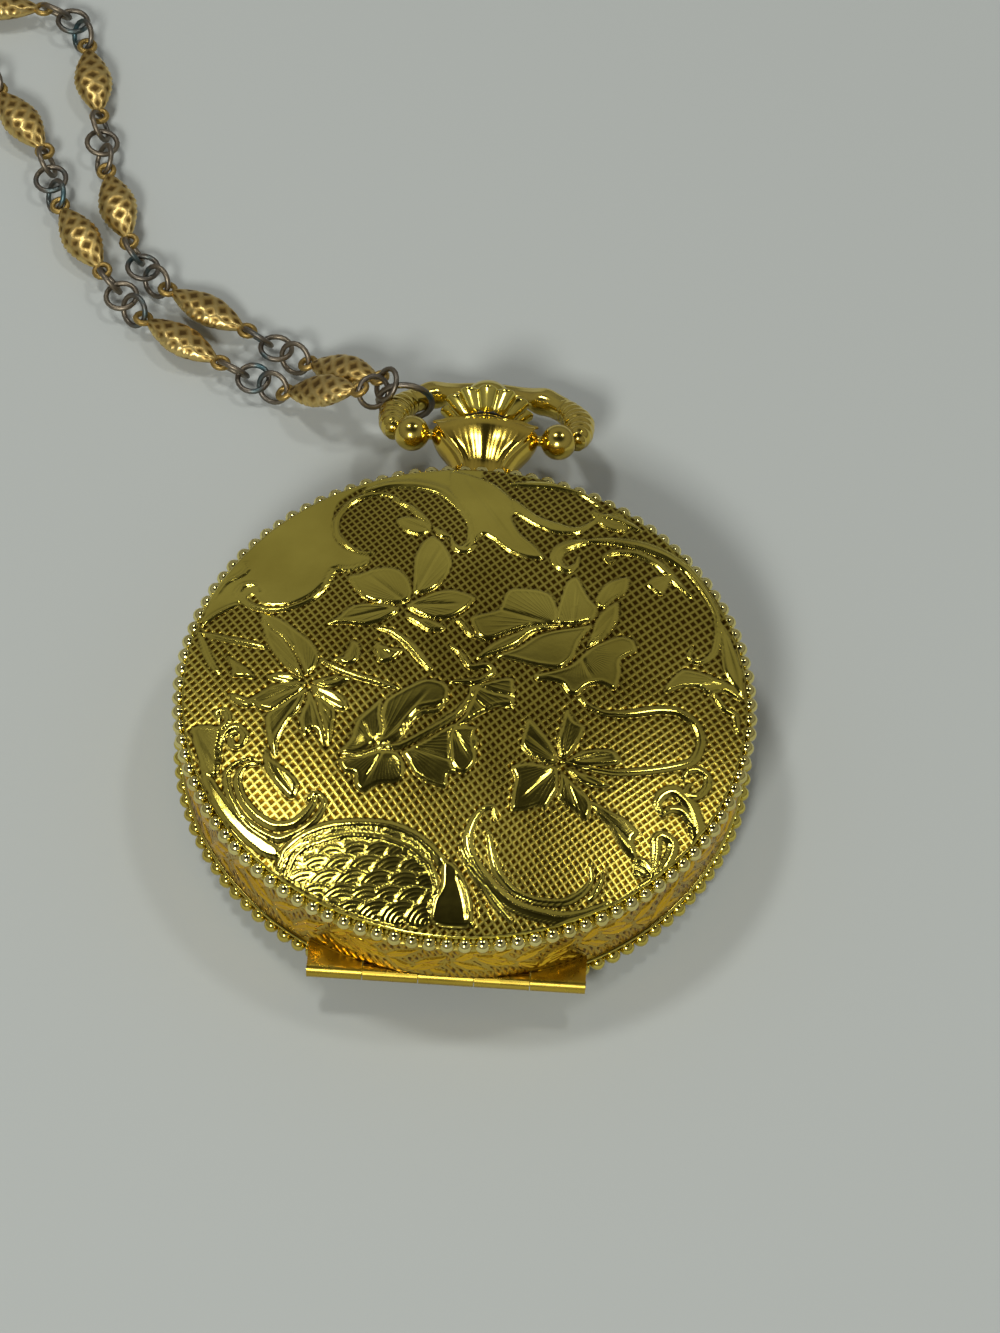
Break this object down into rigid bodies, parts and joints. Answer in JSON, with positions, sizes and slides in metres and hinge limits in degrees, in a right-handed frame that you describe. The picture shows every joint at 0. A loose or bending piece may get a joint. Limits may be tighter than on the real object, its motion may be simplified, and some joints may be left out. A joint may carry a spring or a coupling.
{
  "type": "pendant watch",
  "caption": "Ladies' hunter-case pendant watch with engraved covers, a beaded rim, a swinging bow, a fluted crown and a doubled chain of lens-shaped links joined by small rings.",
  "frame": {"origin": "on the case's centre line, at the flat on which the closed watch lies on its front lid", "axes": "+Z out of the engraved back, +Y from the case's centre to the pendant and crown (12 o'clock), +X to the right as seen from the back"},
  "size_m": [0.08, 0.1092, 0.0095],
  "materials": {
    "gold_plate": "gold plate over base metal, engraved and polished",
    "chain_gold": "worn gold plate, darker in the hollows",
    "steel": "fine ground steel",
    "brass": "turned brass",
    "nickel": "nickel plated brass with fine stripes",
    "crystal_glass": "clear domed glass",
    "enamel": "white enamel on copper",
    "blued_steel": "blued steel",
    "ruby": "synthetic ruby",
    "rubber": "black rubber"
  },
  "bodies": {
    "case": {"case_middle": "gold_plate", "back_cover": "gold_plate", "hinge_pin": "gold_plate", "lid_lift_spring": "steel", "lid_lock_spring": "steel", "pendant_neck": "gold_plate", "pendant_tube": "steel", "crystal": "crystal_glass", "crystal_bezel": "gold_plate", "dial": "enamel", "movement_ring": "brass", "mainplate": "nickel", "barrel_bridge": "nickel", "train_bridge": "nickel", "balance_cock": "nickel", "bridge_screws": "steel", "jewels": "ruby", "setting_lever": "steel", "sliding_clutch": "steel", "hairspring": "steel", "chain_strand_upper": "chain_gold", "chain_strand_lower": "chain_gold", "chain_coil": "chain_gold"},
    "lid": {"front_lid": "gold_plate"},
    "bow_body": {"bow": "gold_plate", "chain_bow_links": "chain_gold"},
    "gasket_carrier": {"crown_gasket": "rubber"},
    "crown_body": {"crown": "gold_plate", "winding_stem": "steel"},
    "winding_pinion_body": {"winding_pinion": "steel"},
    "crown_wheel_body": {"crown_wheel": "steel"},
    "ratchet_body": {"ratchet_wheel": "steel"},
    "click_body": {"click": "steel"},
    "barrel_body": {"mainspring_barrel": "brass"},
    "centre_body": {"centre_wheel": "brass"},
    "third_body": {"third_wheel": "brass"},
    "fourth_body": {"fourth_wheel": "brass"},
    "escape_body": {"escape_wheel": "steel"},
    "fork_body": {"pallet_fork": "steel"},
    "balance_body": {"balance_wheel": "brass"},
    "minute_hand_body": {"minute_hand": "blued_steel", "cannon_pinion": "steel"},
    "minute_wheel_body": {"minute_wheel": "brass"},
    "hour_hand_body": {"hour_hand": "blued_steel", "hour_wheel": "brass"}
  },
  "joints": [
    {"name": "lid_hinge", "type": "hinge", "parent": "case", "child": "lid", "pos_m": [0, -0.017, 0.00286], "axis": [-1, 0, 0], "range_deg": [0, 100]},
    {"name": "bow_swing", "type": "hinge", "parent": "case", "child": "bow_body", "pos_m": [0, 0.0222, 0.00475], "axis": [1, 0, 0], "range_deg": [-62, 118], "deforming": ["chain_bow_links"]},
    {"name": "crown_slide", "type": "slide", "parent": "case", "child": "gasket_carrier", "axis": [0, 1, 0], "range_m": [0, 0.0006]},
    {"name": "crown_turn", "type": "hinge", "parent": "gasket_carrier", "child": "crown_body", "pos_m": [0, 0.024, 0.00475], "axis": [0, 1, 0], "continuous": true},
    {"name": "winding_pinion_turn", "type": "hinge", "parent": "case", "child": "winding_pinion_body", "pos_m": [0, 0.0103, 0.00475], "axis": [0, 1, 0], "continuous": true},
    {"name": "crown_wheel_turn", "type": "hinge", "parent": "case", "child": "crown_wheel_body", "pos_m": [-0.0006, 0.00759, 0.0063], "axis": [0, 0, 1], "continuous": true},
    {"name": "ratchet_turn", "type": "hinge", "parent": "case", "child": "ratchet_body", "pos_m": [-0.00507, 0.00185, 0.0063], "axis": [0, 0, 1], "continuous": true},
    {"name": "click_swing", "type": "hinge", "parent": "case", "child": "click_body", "pos_m": [-0.01001, 0.0047, 0.0063], "axis": [0, 0, 1], "range_deg": [0, 10]},
    {"name": "barrel_turn", "type": "hinge", "parent": "case", "child": "barrel_body", "pos_m": [-0.00507, 0.00185, 0.0052], "axis": [0, 0, 1], "continuous": true},
    {"name": "centre_turn", "type": "hinge", "parent": "case", "child": "centre_body", "pos_m": [0, 0, 0.006], "axis": [0, 0, 1], "continuous": true},
    {"name": "third_turn", "type": "hinge", "parent": "case", "child": "third_body", "pos_m": [0.0035, 0.00245, 0.0055], "axis": [0, 0, 1], "continuous": true},
    {"name": "fourth_turn", "type": "hinge", "parent": "case", "child": "fourth_body", "pos_m": [0.00531, -0.00068, 0.005], "axis": [0, 0, 1], "continuous": true},
    {"name": "escape_turn", "type": "hinge", "parent": "case", "child": "escape_body", "pos_m": [0.0082, -0.00173, 0.0055], "axis": [0, 0, 1], "continuous": true},
    {"name": "fork_swing", "type": "hinge", "parent": "case", "child": "fork_body", "pos_m": [0.00644, -0.00391, 0.0055], "axis": [0, 0, 1], "range_deg": [-5, 5]},
    {"name": "balance_swing", "type": "hinge", "parent": "case", "child": "balance_body", "pos_m": [0.00351, -0.00752, 0.006], "axis": [0, 0, 1], "range_deg": [-150, 150], "deforming": ["hairspring"]},
    {"name": "minute_hand_turn", "type": "hinge", "parent": "case", "child": "minute_hand_body", "pos_m": [0, 0, 0.0017], "axis": [0, 0, 1], "continuous": true},
    {"name": "minute_wheel_turn", "type": "hinge", "parent": "case", "child": "minute_wheel_body", "pos_m": [0, 0.003, 0.0031], "axis": [0, 0, 1], "continuous": true},
    {"name": "hour_hand_turn", "type": "hinge", "parent": "case", "child": "hour_hand_body", "pos_m": [0, 0, 0.002], "axis": [0, 0, 1], "continuous": true}
  ],
  "couplings": [
    {"joint": "winding_pinion_turn", "follows": "crown_turn", "ratio": 1},
    {"joint": "crown_wheel_turn", "follows": "crown_turn", "ratio": 0.57143},
    {"joint": "ratchet_turn", "follows": "crown_turn", "ratio": -0.35294},
    {"joint": "minute_wheel_turn", "follows": "minute_hand_turn", "ratio": -0.33333},
    {"joint": "hour_hand_turn", "follows": "minute_hand_turn", "ratio": 0.083333},
    {"joint": "barrel_turn", "follows": "fourth_turn", "ratio": -0.0020833},
    {"joint": "centre_turn", "follows": "fourth_turn", "ratio": 0.016667},
    {"joint": "third_turn", "follows": "fourth_turn", "ratio": -0.13333},
    {"joint": "escape_turn", "follows": "fourth_turn", "ratio": -10}
  ]
}
